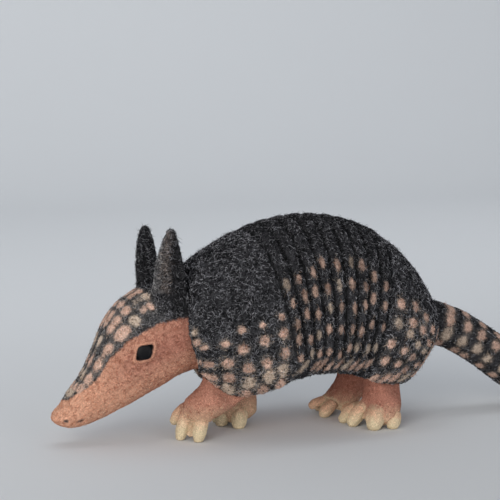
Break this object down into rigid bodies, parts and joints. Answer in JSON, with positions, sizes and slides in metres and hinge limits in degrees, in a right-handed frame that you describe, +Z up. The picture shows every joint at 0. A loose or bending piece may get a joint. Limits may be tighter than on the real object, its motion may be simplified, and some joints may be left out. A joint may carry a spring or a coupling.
{
  "type": "needle-felted armadillo figure",
  "caption": "Needle-felted wool figure of a walking armadillo with a banded, spotted carapace, upright ears, a lowered snout and a tail trailing on the floor.",
  "frame": {"origin": "middle of the figure's plan, on the floor that its claws stand on", "axes": "+Z up, the snout points along -X, and the animal's left side is towards -Y"},
  "size_m": [0.246, 0.0674, 0.0809],
  "materials": {
    "charcoal_felt": "needle-felted wool, charcoal mixed with grey, with peach spots",
    "pink_felt": "needle-felted wool, salmon pink, firm and short",
    "cream_felt": "needle-felted wool, cream",
    "eye_bead": "polished black bead"
  },
  "bodies": {
    "root": {"shoulder_shield": "charcoal_felt", "band_1": "charcoal_felt", "band_2": "charcoal_felt", "band_3": "charcoal_felt", "band_4": "charcoal_felt", "band_5": "charcoal_felt", "band_6": "charcoal_felt", "band_7": "charcoal_felt", "band_8": "charcoal_felt", "band_9": "charcoal_felt", "hip_shield": "charcoal_felt", "head_shield": "charcoal_felt", "ear_left": "charcoal_felt", "ear_right": "charcoal_felt", "tail": "charcoal_felt", "head": "pink_felt", "neck": "pink_felt", "trunk": "pink_felt", "leg_front_left": "pink_felt", "leg_front_right": "pink_felt", "leg_hind_left": "pink_felt", "leg_hind_right": "pink_felt", "claw_front_left_1": "cream_felt", "claw_front_left_2": "cream_felt", "claw_front_left_3": "cream_felt", "claw_front_left_4": "cream_felt", "claw_front_right_1": "cream_felt", "claw_front_right_2": "cream_felt", "claw_front_right_3": "cream_felt", "claw_front_right_4": "cream_felt", "claw_hind_left_1": "cream_felt", "claw_hind_left_2": "cream_felt", "claw_hind_left_3": "cream_felt", "claw_hind_left_4": "cream_felt", "claw_hind_left_5": "cream_felt", "claw_hind_right_1": "cream_felt", "claw_hind_right_2": "cream_felt", "claw_hind_right_3": "cream_felt", "claw_hind_right_4": "cream_felt", "claw_hind_right_5": "cream_felt", "eye_left": "eye_bead", "eye_right": "eye_bead"}
  },
  "joints": []
}
